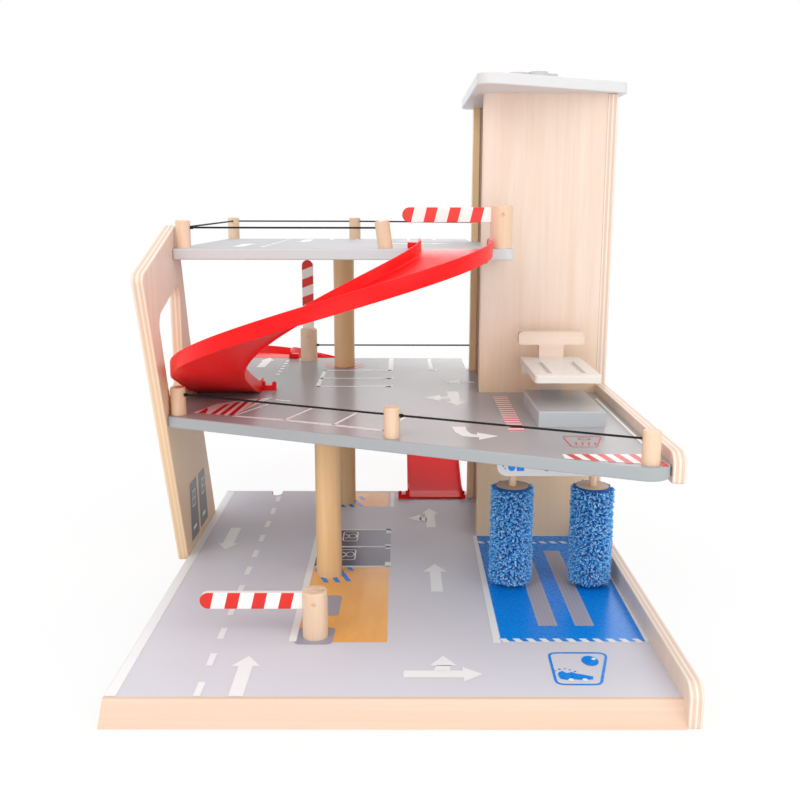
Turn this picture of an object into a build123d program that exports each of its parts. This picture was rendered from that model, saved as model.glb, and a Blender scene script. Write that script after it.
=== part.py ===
from build123d import *
import math
import os

os.makedirs("parts", exist_ok=True)

# All sizes are in millimetres. X runs to the right, Y to the back and Z up.
# The design frame has its zero at the base board's top front edge, on the left.

# boards and overall sizes
inner_width = 480.0          # between the two plywood sides
base_depth = 574.0
base_board_thick = 9.0
runner_height = 9.0
base_height = base_board_thick + runner_height
ply_thick = 12.0
deck_thick = 12.0
edge_round = 1.5             # softened edge of every board
seat_gap = 0.3               # between a moving piece and what it rests on
running_gap = 0.05           # radial, between a shaft and its hole

# base
front_strip_reach = 20.0
front_strip_flat = 4.0
notch_x, notch_width, notch_depth = 72.0, 14.0, 20.0
runner_width = 30.0
runner_inset = 14.0

# levels
mid_level = 181.0            # top of the mid deck above the base board
top_level = 354.0
deck_back = 650.0
mid_front_left = 254.0
mid_front_right = 43.0
mid_front_corner = 20.0
top_front = 309.0
top_right = 369.0
deck_corner = 10.0
top_left_corner = 3.0
deck_tongue = 10.0           # how far a deck reaches into the lift opening

# lift tower
tower_left = 341.0
tower_front = 388.5
tower_depth = 171.5
tower_height = 524.0
roof_thick = 12.0
roof_left_over, roof_right_over = 15.0, 22.0
roof_front_left, roof_front_right = 298.0, 386.0
roof_back_over = 8.0
roof_corner = 14.0

# right side
rail_height = 20.0           # above the base board
rail_front_corner = 14.0
mid_rail_front = 63.0
mid_rail_above, mid_rail_below = 11.0, 17.0
mid_rail_corner = 12.0

# left side
panel_below = 5.0
panel_foot = (320.0, 486.0)
panel_outline_above = ((376.0, 250.0), (350.0, 338.0), (339.0, 378.0), (327.0, 378.0), (185.0, 333.0))
window_outline = ((238.0, 287.0), (336.0, 317.0), (339.0, 200.0), (270.5, 196.5))
panel_corner, window_corner = 8.0, 14.0

# columns and posts
column_diameter = 28.0
lower_front_column_at = (168.0, 266.0)
lower_back_column_at = (171.5, 524.0)
upper_column_at = (169.0, 578.0)
fence_post_diameter, fence_post_height = 16.0, 30.0
mid_fence_posts = {
    "mid_fence_post_left": (10.0, 264.0),
    "mid_fence_post_middle": (238.0, 164.0),
    "mid_fence_post_right": (462.0, 69.0),
}
top_fence_posts = {
    "top_fence_post_front_left": (10.0, 321.0),
    "top_fence_post_back_left": (10.0, 638.0),
    "top_fence_post_back": (182.0, 638.0),
}
leaning_post_name = "top_fence_post_leaning"
leaning_post_at, leaning_angle = (230.0, 321.0), 8.0

# elastic fence cords
cord_diameter = 2.0
cord_hole_gap = 0.1
cord_height = 22.0           # above the deck
back_cord_height = 25.0      # at the top deck's back posts
mid_cord_tower_height = 33.0
cord_end_depth = 5.0

# barriers
barrier_post_diameter, barrier_post_height = 24.0, 46.0
barrier_pivot_height = 36.0
arm_reach, arm_height, arm_thick = 108.0, 16.0, 6.0
arm_side_gap, arm_end_gap = 0.3, 0.6
pin_diameter = 4.0
base_barrier_at = (166.0, 113.0)
mid_barrier_at = (114.5, 630.0)
top_barrier_at = (356.0, 323.0)

# ramps
upper_ramp_left, upper_ramp_right = 42.0, 304.0
lower_ramp_left, lower_ramp_right = 48.0, 295.5
upper_ramp_runs = (28.0, 97.0)     # before the bend, then past the start line on the way back
lower_ramp_runs = (33.5, 113.0)
ramp_clear, ramp_wall, ramp_floor = 72.0, 2.3, 2.5
ramp_wall_above, ramp_rim_below, ramp_rim_end = 12.0, 4.0, 3.2
ramp_flat_end = 24.0
ramp_ease = 0.80
ramp_arc_steps = 26
upper_ramp_lugs = (3.0, 6.0)       # how far the end lugs stand out, on the two sides
lower_ramp_lugs = (4.0, 6.0)
ramp_lug_long, ramp_lug_high = 8.0, 9.0
ramp_hook_long, ramp_hook_wide, ramp_hook_thick = 9.0, 12.0, 3.0

# car hoist
hoist_x = 419.0
hoist_block_size = (67.5, 116.0, 16.0)
hoist_block_front = 207.0
hoist_platform_size = (69.0, 126.0, 8.0)
hoist_platform_front = 233.0
hoist_lift = 24.0            # platform underside above the block at rest
hoist_up = 36.0
groove_length, groove_width, groove_depth = 78.0, 6.5, 3.0
groove_spacing, groove_start = 36.0, 15.0
stem_width, stem_thick = 28.0, 12.0
stem_below_deck = 44.0
handle_width, handle_height, handle_centre = 75.0, 15.0, 252.0
slot_gap = 0.5
batten_size = (69.0, 12.0, 8.0)
guide_size = (56.0, 36.0, 18.0)

# car wash
wash_sign_size = (101.0, 6.0, 27.0)
wash_sign_left, wash_sign_front = 340.0, 165.0
brush_y = 240.0
brush_x = {"left": 365.0, "right": 450.0}
brush_core_diameter, brush_bottom, brush_top = 34.0, 4.0, 110.0
brush_backing = 1.2
brush_diameter = 48.0
strand_rows, strands_per_row = 15, 14
strand_root, strand_tip = 2.6, 1.6
axle_diameter, axle_depth = 8.0, 6.0

# lift car, cord and crank
car_gap = 2.4
car_left = 354.0
car_board = 9.0
car_side = 6.0
car_inner_height = 86.0
strip_size = (8.0, 5.0)
lift_cord_diameter = 1.6
hook_x, hook_y = 423.5, 474.5
ring_radius, ring_wire = 4.0, 1.6
stem_of_ring = 5.0
spool_core, spool_flange, spool_flange_thick, spool_height = 11.2, 17.0, 3.0, 16.0
crank_shaft_diameter = 8.0
knob_radius, knob_lobe, knob_lobes, knob_thick = 22.0, 11.5, 5, 16.0
knob_lift = 5.0
collar_radius = 11.0

# screws
screw_diameter, screw_head_diameter, screw_head_height = 3.5, 7.0, 2.5
screw_length = 30.0
screw_gap = 0.05

# worked out from the sizes above
ramp_half = ramp_clear / 2 + ramp_wall
upper_ramp_radius = (upper_ramp_right - upper_ramp_left) / 2
lower_ramp_radius = (lower_ramp_right - lower_ramp_left) / 2
lower_ramp_back = deck_back + lower_ramp_runs[0] + lower_ramp_radius + ramp_half
model_front = -front_strip_reach
tower_back = tower_front + tower_depth
shaft_front = tower_front + ply_thick
shaft_back = tower_back - ply_thick
roof_top = tower_height + roof_thick
model_left, model_right = -ply_thick, inner_width + roof_right_over
row_origin = (-(model_left + model_right) / 2, -(model_front + lower_ramp_back) / 2, base_height)
crank_x, crank_y = hook_x - 18.5, hook_y + spool_core + lift_cord_diameter / 2

nodes = {}


def keep(name, shape):
    """Store one sub-part under its node name."""
    nodes[name] = shape


def block(x0, x1, y0, y1, z0, z1):
    return Pos(x0, y0, z0) * Box(x1 - x0, y1 - y0, z1 - z0, align=(Align.MIN, Align.MIN, Align.MIN))


def rod(x, y, z0, z1, diameter):
    return Pos(x, y, z0) * Cylinder(diameter / 2, z1 - z0, align=(Align.CENTER, Align.CENTER, Align.MIN))


def rod_between(start, end, diameter):
    """A round bar from one point to another."""
    a, b = Vector(*start), Vector(*end)
    plane = Plane(origin=a, z_dir=b - a)
    return plane * Cylinder(diameter / 2, (b - a).length, align=(Align.CENTER, Align.CENTER, Align.MIN))


def outline(points, radii):
    """A face through the points, each corner rounded by its radius."""
    face = make_face(Polyline(*points, close=True))
    for point, radius in zip(points, radii):
        if radius > 0:
            corner = min(face.vertices(), key=lambda v: (v.X - point[0]) ** 2 + (v.Y - point[1]) ** 2)
            face = fillet(corner, radius)
    return face


def soften(part, radius=edge_round):
    """Round the long edges round the two faces of a flat board."""
    return fillet(part.edges().filter_by(lambda e: e.length > 4 * radius), radius)


def deck_plate(points, radii, top):
    face = outline(points, radii)
    plate = Pos(0, 0, top - deck_thick) * extrude(face, amount=deck_thick)
    rims = plate.edges().group_by(Axis.Z)
    return fillet(rims[-1] + rims[0], edge_round)


def side_plate(points, radii, x0):
    """A board in the Y-Z plane, ply_thick wide, from x0 to the right."""
    return Plane.YZ.offset(x0) * extrude(outline(points, radii), amount=ply_thick)


# ---------------------------------------------------------------- base

def base_pieces():
    board = block(0, inner_width, 0, base_depth, -base_board_thick, 0)
    notch = block(
        notch_x - notch_width / 2, notch_x + notch_width / 2,
        base_depth - notch_depth + notch_width / 2, base_depth + 1, -base_board_thick - 1, 1)
    notch += rod(notch_x, base_depth - notch_depth + notch_width / 2, -base_board_thick - 1, 1, notch_width)
    board -= notch
    for side in brush_x.values():
        board -= rod(side, brush_y, -axle_depth, 1, axle_diameter + 2 * running_gap)
    keep("base_board", board)

    strip = [(0, 0), (-front_strip_flat, 0), (-front_strip_reach, -base_height), (0, -base_height)]
    keep("base_front_ramp", Plane.YZ * extrude(make_face(Polyline(*strip, close=True)), amount=inner_width))

    low, high = -base_height, -base_board_thick
    back = base_depth - runner_inset - notch_depth
    runners = []
    for x in (runner_inset, (inner_width - runner_width) / 2, inner_width - runner_inset - runner_width):
        runners.append(block(x, x + runner_width, 0, back, low, high))
    runners.append(block(runner_inset, inner_width - runner_inset, back, back + runner_inset, low, high))
    keep("base_runners", Compound(children=[Part(r.wrapped) for r in runners]))


# ---------------------------------------------------------------- sides

def left_panel():
    points = [(panel_foot[0], -panel_below), (panel_foot[1], -panel_below), *panel_outline_above]
    radii = [2, 4, 30, 20, panel_corner, panel_corner, panel_corner]
    panel = side_plate(points, radii, -ply_thick)
    window = side_plate(window_outline, [window_corner] * 4, -ply_thick)
    panel = soften(panel - window)
    keep("left_panel", panel)


def right_side_panel():
    """One sheet: the base rail, the lift tower's wall and the mid deck's rail."""
    rail_low, rail_high = mid_level - mid_rail_below, mid_level + mid_rail_above
    points = [
        (-front_strip_reach, -base_height), (base_depth, -base_height), (base_depth, rail_height),
        (tower_back, rail_height), (tower_back, tower_height), (tower_front, tower_height),
        (tower_front, rail_high), (mid_rail_front, rail_high), (mid_rail_front, rail_low),
        (tower_front, rail_low), (tower_front, rail_height), (-front_strip_reach, rail_height)]
    radii = [2, 2, 6, 6, 0, 0, 0, mid_rail_corner, 3, 6, 6, rail_front_corner]
    keep("right_side_panel", soften(side_plate(points, radii, inner_width)))


# ---------------------------------------------------------------- decks

def deck_tongue_edge():
    """The deck's edge at the lift opening, from front to back."""
    clear = strip_size[1] + 1.0
    return [
        (tower_left, shaft_front), (tower_left, shaft_front + clear),
        (tower_left + deck_tongue, shaft_front + clear), (tower_left + deck_tongue, shaft_back - clear),
        (tower_left, shaft_back - clear), (tower_left, deck_back)]


def stem_slot(z0, z1):
    y0 = hoist_platform_front + hoist_platform_size[1] - stem_thick
    half = stem_width / 2 + slot_gap
    return block(hoist_x - half, hoist_x + half, y0 - slot_gap, y0 + stem_thick + slot_gap, z0, z1)


def mid_deck():
    slope = (mid_front_right - mid_front_left) / inner_width
    points = [(0, mid_front_left), (inner_width, mid_front_right), (inner_width, tower_front),
              (tower_left, tower_front), *deck_tongue_edge()[0:], (0, deck_back)]
    radii = [3, mid_front_corner, 0, 0] + [0] * 5 + [deck_corner, deck_corner]
    deck = deck_plate(points, radii, mid_level)
    low = mid_level - deck_thick
    deck -= stem_slot(low - 1, mid_level + 1)
    for side in brush_x.values():
        deck -= rod(side, brush_y, low - 1, low + axle_depth, axle_diameter + 2 * running_gap)
    keep("mid_deck", deck)


def top_deck():
    points = [(0, top_front), (top_right, top_front), (top_right, tower_front), (tower_left, tower_front),
              *deck_tongue_edge(), (0, deck_back)]
    radii = [top_left_corner, deck_corner, 0, 0] + [0] * 5 + [deck_corner, deck_corner]
    keep("top_deck", deck_plate(points, radii, top_level))


# ---------------------------------------------------------------- columns, posts, cords

def column(name, at, z0, z1):
    keep(name, rod(*at, z0, z1, column_diameter))


def cord_bore(start, end):
    return rod_between(start, end, cord_diameter + 2 * cord_hole_gap)


def cord_end(post, toward):
    """The point inside a post where a cord stops."""
    post, toward = Vector(*post), Vector(*toward)
    way = (toward - post).normalized()
    return tuple(post + way * (fence_post_diameter / 2 - cord_end_depth))


def fence():
    """The posts, the cords that run through them, and the cords' three bores."""
    posts, bores = {}, []
    for group, level in ((mid_fence_posts, mid_level), (top_fence_posts, top_level)):
        for name, (x, y) in group.items():
            post = rod(x, y, level, level + fence_post_height, fence_post_diameter)
            posts[name] = fillet(post.edges().group_by(Axis.Z)[-1], edge_round)
    lean = Rot(0, -leaning_angle, 0) * Pos(0, 0, -10) * Cylinder(
        fence_post_diameter / 2, fence_post_height + 10, align=(Align.CENTER, Align.CENTER, Align.MIN))
    lean = Pos(*leaning_post_at, top_level) * fillet(lean.edges().group_by(Axis.Z)[-1], edge_round)
    span = 40
    x, y = leaning_post_at
    posts[leaning_post_name] = lean - block(x - span, x + span, y - span, y + span, top_level - span, top_level)

    high = mid_level + cord_height
    left, middle, right = [(*at, high) for at in mid_fence_posts.values()]
    front_cord = [cord_end(left, middle), middle, cord_end(right, middle)]

    high = top_level + cord_height
    rear = top_level + back_cord_height
    corner, back_left, back = [(*at, z) for at, z in zip(top_fence_posts.values(), (high, rear, rear))]
    shift = math.tan(math.radians(leaning_angle)) * cord_height
    leaning = (leaning_post_at[0] - shift, leaning_post_at[1], high)
    tower = (tower_left + cord_end_depth, shaft_back + ply_thick / 2, rear)
    top_cord = [cord_end(leaning, corner), corner, back_left, back, tower]

    high = mid_level + cord_height
    barrier = (mid_barrier_at[0] + barrier_post_diameter / 2 - cord_end_depth, mid_barrier_at[1], high)
    tower = (tower_left + cord_end_depth, shaft_back + ply_thick / 2, mid_level + mid_cord_tower_height)
    back_cord = [barrier, tower]

    for name, route in (("mid_front", front_cord), ("top", top_cord), ("mid_back", back_cord)):
        cord, bore = None, None
        for a, b in zip(route, route[1:]):
            run, hole = rod_between(a, b, cord_diameter), cord_bore(a, b)
            cord = run if cord is None else cord + run
            bore = hole if bore is None else bore + hole
        for point in route[1:-1]:
            cord += Pos(*point) * Sphere(cord_diameter / 2)
            bore += Pos(*point) * Sphere(cord_diameter / 2 + cord_hole_gap)
        bores.append(bore)
        keep("fence_cord_" + name, cord)
    for name, post in posts.items():
        keep(name, post - bores[0] if name in mid_fence_posts else post - bores[1])
    return bores


# ---------------------------------------------------------------- barriers

def barrier(level_name, at, level, raised, bore=None):
    """A slotted post, the arm that swings in it, and the arm's pin."""
    x, y = at
    pivot = level + barrier_pivot_height
    post = rod(x, y, level, level + barrier_post_height, barrier_post_diameter)
    post = fillet(post.edges().group_by(Axis.Z)[-1], edge_round)
    half = arm_thick / 2 + arm_side_gap
    reach = arm_height / 2 + arm_end_gap
    post -= block(x - barrier_post_diameter, x + reach, y - half, y + half,
                  pivot - reach, level + barrier_post_height + 1)
    post -= rod_between((x, y - 30, pivot), (x, y + 30, pivot), pin_diameter)
    if bore is not None:
        post -= bore
    keep(level_name + "_barrier_post", post)

    half = arm_height / 2
    profile = [(half, -half), (-arm_reach, -half), (-arm_reach, half), (half, half)]
    arm = extrude(outline(profile, [half - 0.01, half - 0.01, half - 0.01, half - 0.01]), amount=arm_thick)
    arm = fillet(arm.edges().group_by(Axis.Z)[-1] + arm.edges().group_by(Axis.Z)[0], 0.8)
    arm -= Cylinder(pin_diameter / 2 + running_gap, 60)
    arm = Rot(90, 0, 0) * arm
    if raised:
        arm = Rot(0, 90, 0) * arm
    keep(level_name + "_barrier_arm", Pos(x, y + arm_thick / 2, pivot) * arm)

    length = barrier_post_diameter - 2 * edge_round
    return rod_between((x, y - length / 2, pivot), (x, y + length / 2, pivot), pin_diameter)


# ---------------------------------------------------------------- ramps

def ramp_fall(t):
    """Share of the whole fall that lies behind at share t of the way."""
    turn = ramp_ease * math.pi
    return (1 - math.cos(turn * t)) / (1 - math.cos(turn))


def ramp_stations(radius, runs):
    """Points (x, y, outward turn) along the path, each with its share of the slope behind it."""
    start_run, end_run = runs[0], sum(runs)
    total = start_run + math.pi * radius + end_run
    stations = [(0.0, 0.0, 0.0)]
    for i in range(ramp_arc_steps + 1):
        turn = math.pi * i / ramp_arc_steps
        x = radius * (math.cos(turn) - 1)
        y = -start_run - radius * math.sin(turn)
        stations.append((x, y, turn))
    for share in (0.2, 0.4, 0.6, 1 - ramp_flat_end / end_run, 1.0):
        stations.append((-2 * radius, -start_run + share * end_run, math.pi))
    result, run, last = [], 0.0, stations[0]
    for station in stations:
        if last[2] < station[2]:
            run += radius * (station[2] - last[2])
        else:
            run += math.hypot(station[0] - last[0], station[1] - last[1])
        result.append((*station, min(run / (total - ramp_flat_end), 1.0)))
        last = station
    return result


def ramp_channel(radius, runs, fall):
    """The half-turn channel: a floor between two walls with a rim below."""
    half, inner = ramp_half, ramp_half - ramp_wall
    sections = []
    for x, y, turn, share in ramp_stations(radius, runs):
        floor = -fall * ramp_fall(share)
        rim = ramp_rim_below + (ramp_rim_end - ramp_rim_below) * share ** 2
        profile = [
            (-half, -rim), (-half, ramp_wall_above), (-inner, ramp_wall_above), (-inner, 0),
            (inner, 0), (inner, ramp_wall_above), (half, ramp_wall_above), (half, -rim),
            (inner, -rim), (inner, -ramp_floor), (-inner, -ramp_floor), (-inner, -rim)]
        across = Vector(math.cos(turn), -math.sin(turn), 0)
        points = [Vector(x, y, floor + z) + across * n for n, z in profile]
        sections.append(make_face(Polyline(*points, close=True)))
    return loft(sections, ruled=True)


def ramp_lug(side, reach, end_x, end_y, bottom):
    """A block with a round peg on top, beside the ramp's low end."""
    out, y = end_x + side * (ramp_half + reach), end_y - ramp_lug_long / 2
    x0, x1 = sorted((end_x + side * (ramp_half - 0.5), out))
    lug = block(x0, x1, end_y - ramp_lug_long, end_y, bottom, bottom + ramp_lug_high)
    peg_end = end_x + side * (ramp_half + min(reach, 3.0))
    peg = rod_between((end_x + side * ramp_half, y, bottom + ramp_lug_high), (peg_end, y, bottom + ramp_lug_high), 5)
    return lug + peg


def ramp_hook(side):
    """An ear above the deck and a hook below it, at one side of the ramp's high end."""
    half = ramp_half
    x0, x1 = sorted((side * (half - ramp_wall), side * half))
    ear = block(x0, x1, -6, ramp_hook_long, seat_gap, ramp_wall_above)
    ear = fillet(ear.edges().filter_by(Axis.X).group_by(Axis.Y)[-1].sort_by(Axis.Z)[-1], 7)
    x0, x1 = sorted((side * (half - ramp_wall), side * (half - ramp_hook_wide)))
    low = -deck_thick - seat_gap - ramp_hook_thick
    hook = block(x0, x1, -ramp_wall - seat_gap, ramp_hook_long, low, low + ramp_hook_thick)
    hook += block(x0, x1, -ramp_wall - seat_gap, -seat_gap, low, -ramp_floor / 2)
    return ear + hook


def ramp(name, start, radius, runs, lugs, levels, turned):
    """A channel that hangs flush on one level, turns half round and lies on the level below."""
    half = ramp_half
    fall = levels[0] - levels[1] - ramp_rim_end
    piece = ramp_channel(radius, runs, fall)
    for side, reach in zip((-1, 1), lugs):
        piece += ramp_lug(side, reach, -2 * radius, runs[1], -fall - ramp_rim_end)
        piece += ramp_hook(side)
    x0, x1 = sorted((-half, -half - ramp_hook_wide))
    piece += block(x0, x1, 1, ramp_hook_long, seat_gap, 7) + block(x0 + 1, -half + 1, -4, 2, seat_gap, 7)
    placed = Rot(0, 0, 180) * piece if turned else piece
    keep(name, Pos(*start, levels[0]) * placed)


# ---------------------------------------------------------------- tower and roof

def tower():
    keep("tower_front_panel", block(tower_left, inner_width, tower_front, shaft_front, 0, tower_height))
    panel = block(tower_left, inner_width, shaft_back, tower_back, 0, tower_height)
    keep("tower_back_panel", panel)
    wide, deep = strip_size
    front = block(tower_left, tower_left + wide, shaft_front, shaft_front + deep, 0, tower_height)
    back = block(tower_left, tower_left + wide, shaft_back - deep, shaft_back, 0, tower_height)
    keep("lift_guide_strips", Compound(children=[Part(front.wrapped), Part(back.wrapped)]))

    right = inner_width + roof_right_over
    left = tower_left - roof_left_over
    back = tower_back + roof_back_over
    points = [(left, roof_front_left), (right, roof_front_right), (right, back), (left, back)]
    roof = Pos(0, 0, tower_height) * extrude(outline(points, [roof_corner] * 4), amount=roof_thick)
    rims = roof.edges().group_by(Axis.Z)
    roof = fillet(rims[-1] + rims[0], edge_round)
    roof -= rod(crank_x, crank_y, tower_height - 1, roof_top + 1, crank_shaft_diameter + 2 * running_gap)
    keep("tower_roof", roof)


# ---------------------------------------------------------------- hoist

def hoist():
    wide, deep, high = hoist_block_size
    base = block(hoist_x - wide / 2, hoist_x + wide / 2, hoist_block_front, hoist_block_front + deep,
                 mid_level, mid_level + high)
    keep("hoist_block", fillet(base.edges().filter_by(Axis.Z) + base.edges().group_by(Axis.Z)[-1], edge_round))

    wide, deep, thick = hoist_platform_size
    low = mid_level + high + hoist_lift
    back = hoist_platform_front + deep
    platform = block(hoist_x - wide / 2, hoist_x + wide / 2, hoist_platform_front, back, low, low + thick)
    platform = fillet(platform.edges().filter_by(Axis.Z), 4)
    platform = fillet(platform.edges().group_by(Axis.Z)[-1], 1)
    for side in (-1, 1):
        x = hoist_x + side * groove_spacing / 2
        y = hoist_platform_front + groove_start
        platform -= block(x - groove_width / 2, x + groove_width / 2, y, y + groove_length,
                          low + thick - groove_depth, low + thick + 1)
    stem_front = back - stem_thick
    platform -= block(hoist_x - stem_width / 2, hoist_x + stem_width / 2, stem_front, back + 1, low - 1, low + 20)
    keep("hoist_platform", platform)

    wide, deep, thick = batten_size
    keep("hoist_platform_batten", block(hoist_x - wide / 2, hoist_x + wide / 2, stem_front - deep, stem_front,
                                        low - thick, low))

    foot = mid_level - deck_thick - stem_below_deck
    half_stem, half_bar = stem_width / 2, handle_width / 2
    bar_low, bar_high = handle_centre - handle_height / 2, handle_centre + handle_height / 2
    points = [(-half_stem, foot), (half_stem, foot), (half_stem, bar_low), (half_bar, bar_low),
              (half_bar, bar_high), (-half_bar, bar_high), (-half_bar, bar_low), (-half_stem, bar_low)]
    radii = [2, 2, 2, 3, 5, 5, 3, 2]
    handle = Plane.XZ * extrude(outline(points, radii), amount=stem_thick)
    keep("hoist_handle", Pos(hoist_x, back, 0) * handle)

    wide, deep, thick = guide_size
    top = mid_level - deck_thick
    middle = stem_front + stem_thick / 2
    guide = block(hoist_x - wide / 2, hoist_x + wide / 2, middle - deep / 2, middle + deep / 2, top - thick, top)
    keep("hoist_guide", guide - stem_slot(top - thick - 1, top + 1))


# ---------------------------------------------------------------- car wash

def strand(angle, height):
    """One four-sided tuft that stands out of the backing."""
    root_r = brush_core_diameter / 2 + brush_backing / 2
    tip_r = brush_diameter / 2
    faces = []
    for radius, size in ((root_r, strand_root), (tip_r, strand_tip)):
        plane = Plane(origin=(radius, 0, 0), x_dir=(0, 1, 0), z_dir=(1, 0, 0))
        faces.append(plane * Rectangle(size, size))
    return Rot(0, 0, angle) * Pos(0, 0, height) * loft(faces, ruled=True)


def brush(side, x):
    low = mid_level - deck_thick
    axle = rod(x, brush_y, -axle_depth + seat_gap, low + axle_depth - seat_gap, axle_diameter)
    keep("brush_axle_" + side, axle)
    core = rod(x, brush_y, brush_bottom, brush_top, brush_core_diameter)
    keep("brush_core_" + side, core - rod(x, brush_y, brush_bottom - 1, brush_top + 1, axle_diameter))

    height = brush_top - brush_bottom
    skin = rod(0, 0, 0, height, brush_core_diameter + 2 * brush_backing)
    skin -= rod(0, 0, -1, height + 1, brush_core_diameter)
    strands = []
    pitch = height / strand_rows
    for row in range(strand_rows):
        for i in range(strands_per_row):
            angle = 360 / strands_per_row * (i + 0.5 * (row % 2))
            strands.append(strand(angle, pitch * (row + 0.5)))
    keep("brush_pile_" + side, Pos(x, brush_y, brush_bottom) * skin.fuse(*strands))


def wash_sign():
    wide, thick, high = wash_sign_size
    low = mid_level - deck_thick - high
    points = [(0, low), (wide, low), (wide, low + high), (0, low + high)]
    sign = Plane.XZ * extrude(outline(points, [10, 10, 0, 0]), amount=thick)
    keep("wash_sign", Pos(wash_sign_left, wash_sign_front + thick, 0) * sign)


# ---------------------------------------------------------------- lift car and crank

def ring_with_stem(x, y, centre_z, stem_down):
    """A screw eye: a wire ring and its straight stem."""
    ring = Pos(x, y, centre_z) * Rot(90, 0, 0) * Torus(ring_radius, ring_wire / 2)
    way = -1 if stem_down else 1
    reach = ring_radius + stem_of_ring
    stem = rod_between((x, y, centre_z + way * (ring_radius - 0.2)), (x, y, centre_z + way * reach), 2.4)
    return ring + stem


def lift_car():
    x0, x1 = car_left, inner_width - car_gap
    y0, y1 = shaft_front + car_gap, shaft_back - car_gap
    floor = block(x0, x1, y0, y1, seat_gap, seat_gap + car_board)
    keep("lift_car_floor", floor)
    low = seat_gap + car_board
    high = low + car_inner_height
    keep("lift_car_side_front", block(x0, x1, y0, y0 + car_side, low, high))
    keep("lift_car_side_back", block(x0, x1, y1 - car_side, y1, low, high))
    top = block(x0, x1, y0, y1, high, high + car_board)
    hook = ring_with_stem(hook_x, hook_y, high + car_board + ring_radius + ring_wire / 2, True)
    keep("lift_car_top", top - rod(hook_x, hook_y, high, high + car_board + 1, 2.4))
    keep("lift_hook", hook)
    return high + car_board + 2 * ring_radius + ring_wire


def crank(cord_low):
    eye_centre = tower_height - spool_height / 2 - 2
    eye_stem = tower_height - eye_centre
    eye = Pos(hook_x, hook_y, eye_centre) * Rot(90, 0, 0) * Torus(ring_radius, ring_wire / 2)
    eye += rod(hook_x, hook_y, eye_centre + ring_radius - 0.2, eye_centre + eye_stem, 2.4)
    keep("guide_eye", eye)
    cord_top = eye_centre - ring_radius - ring_wire / 2
    keep("lift_cord", rod(hook_x, hook_y, cord_low, cord_top, lift_cord_diameter))
    lead_end = hook_x - ring_radius - ring_wire / 2
    keep("lift_cord_lead", rod_between((crank_x, hook_y, eye_centre), (lead_end, hook_y, eye_centre),
                                       lift_cord_diameter))

    top = tower_height - seat_gap
    spool = rod(crank_x, crank_y, top - spool_height, top, 2 * spool_core - 0.6)
    spool += rod(crank_x, crank_y, top - spool_flange_thick, top, 2 * spool_flange)
    spool += rod(crank_x, crank_y, top - spool_height, top - spool_height + spool_flange_thick, 2 * spool_flange)
    low = top - spool_height
    knob_low = roof_top + knob_lift
    spool -= rod(crank_x, crank_y, low - 1, top + 1, crank_shaft_diameter)
    keep("winding_spool", spool)
    keep("crank_shaft", rod(crank_x, crank_y, low, knob_low + knob_thick - 4, crank_shaft_diameter))

    knob = rod(0, 0, 0, knob_thick, 2 * knob_radius)
    for i in range(knob_lobes):
        angle = 2 * math.pi * i / knob_lobes
        knob += rod(knob_radius * math.cos(angle), knob_radius * math.sin(angle), 0, knob_thick, 2 * knob_lobe)
    knob += rod(0, 0, seat_gap - knob_lift, 0, 2 * collar_radius)
    knob -= rod(0, 0, -knob_lift - 1, knob_thick - 4, crank_shaft_diameter)
    keep("crank_knob", Pos(crank_x, crank_y, knob_low) * knob)


# ---------------------------------------------------------------- screws

def screw(start, direction, length):
    """A countersunk screw whose head lies flush at start and points along direction."""
    plane = Plane(origin=start, z_dir=direction)
    head = plane * Cone(screw_head_diameter / 2, screw_diameter / 2, screw_head_height,
                        align=(Align.CENTER, Align.CENTER, Align.MIN))
    shank = plane * Pos(0, 0, screw_head_height - 0.01) * Cylinder(
        screw_diameter / 2, length, align=(Align.CENTER, Align.CENTER, Align.MIN))
    slot = plane * Box(screw_head_diameter * 0.7, 1.0, 1.6)
    cross = plane * Box(1.0, screw_head_diameter * 0.7, 1.6)
    hole = plane * Cone(screw_head_diameter / 2 + screw_gap, screw_diameter / 2 + screw_gap, screw_head_height,
                        align=(Align.CENTER, Align.CENTER, Align.MIN))
    hole += plane * Pos(0, 0, screw_head_height - 0.01) * Cylinder(
        screw_diameter / 2 + screw_gap, length + screw_gap, align=(Align.CENTER, Align.CENTER, Align.MIN))
    return head + shank - slot - cross, hole


def fasten(name, places, through):
    """Cut the screws' holes in the pieces and keep the screws as one node."""
    screws = []
    for start, direction, length in places:
        piece, hole = screw(start, direction, length)
        screws.append(piece)
        for node in through:
            if overlap(nodes[node], hole):
                nodes[node] = nodes[node] - hole
    keep(name, Compound(children=[Part(s.wrapped) for s in screws]))


def overlap(first, second):
    a, b = first.bounding_box(), second.bounding_box()
    lows, highs = zip(tuple(a.min), tuple(b.min)), zip(tuple(a.max), tuple(b.max))
    return all(max(low) < min(high) for low, high in zip(lows, highs))


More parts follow.
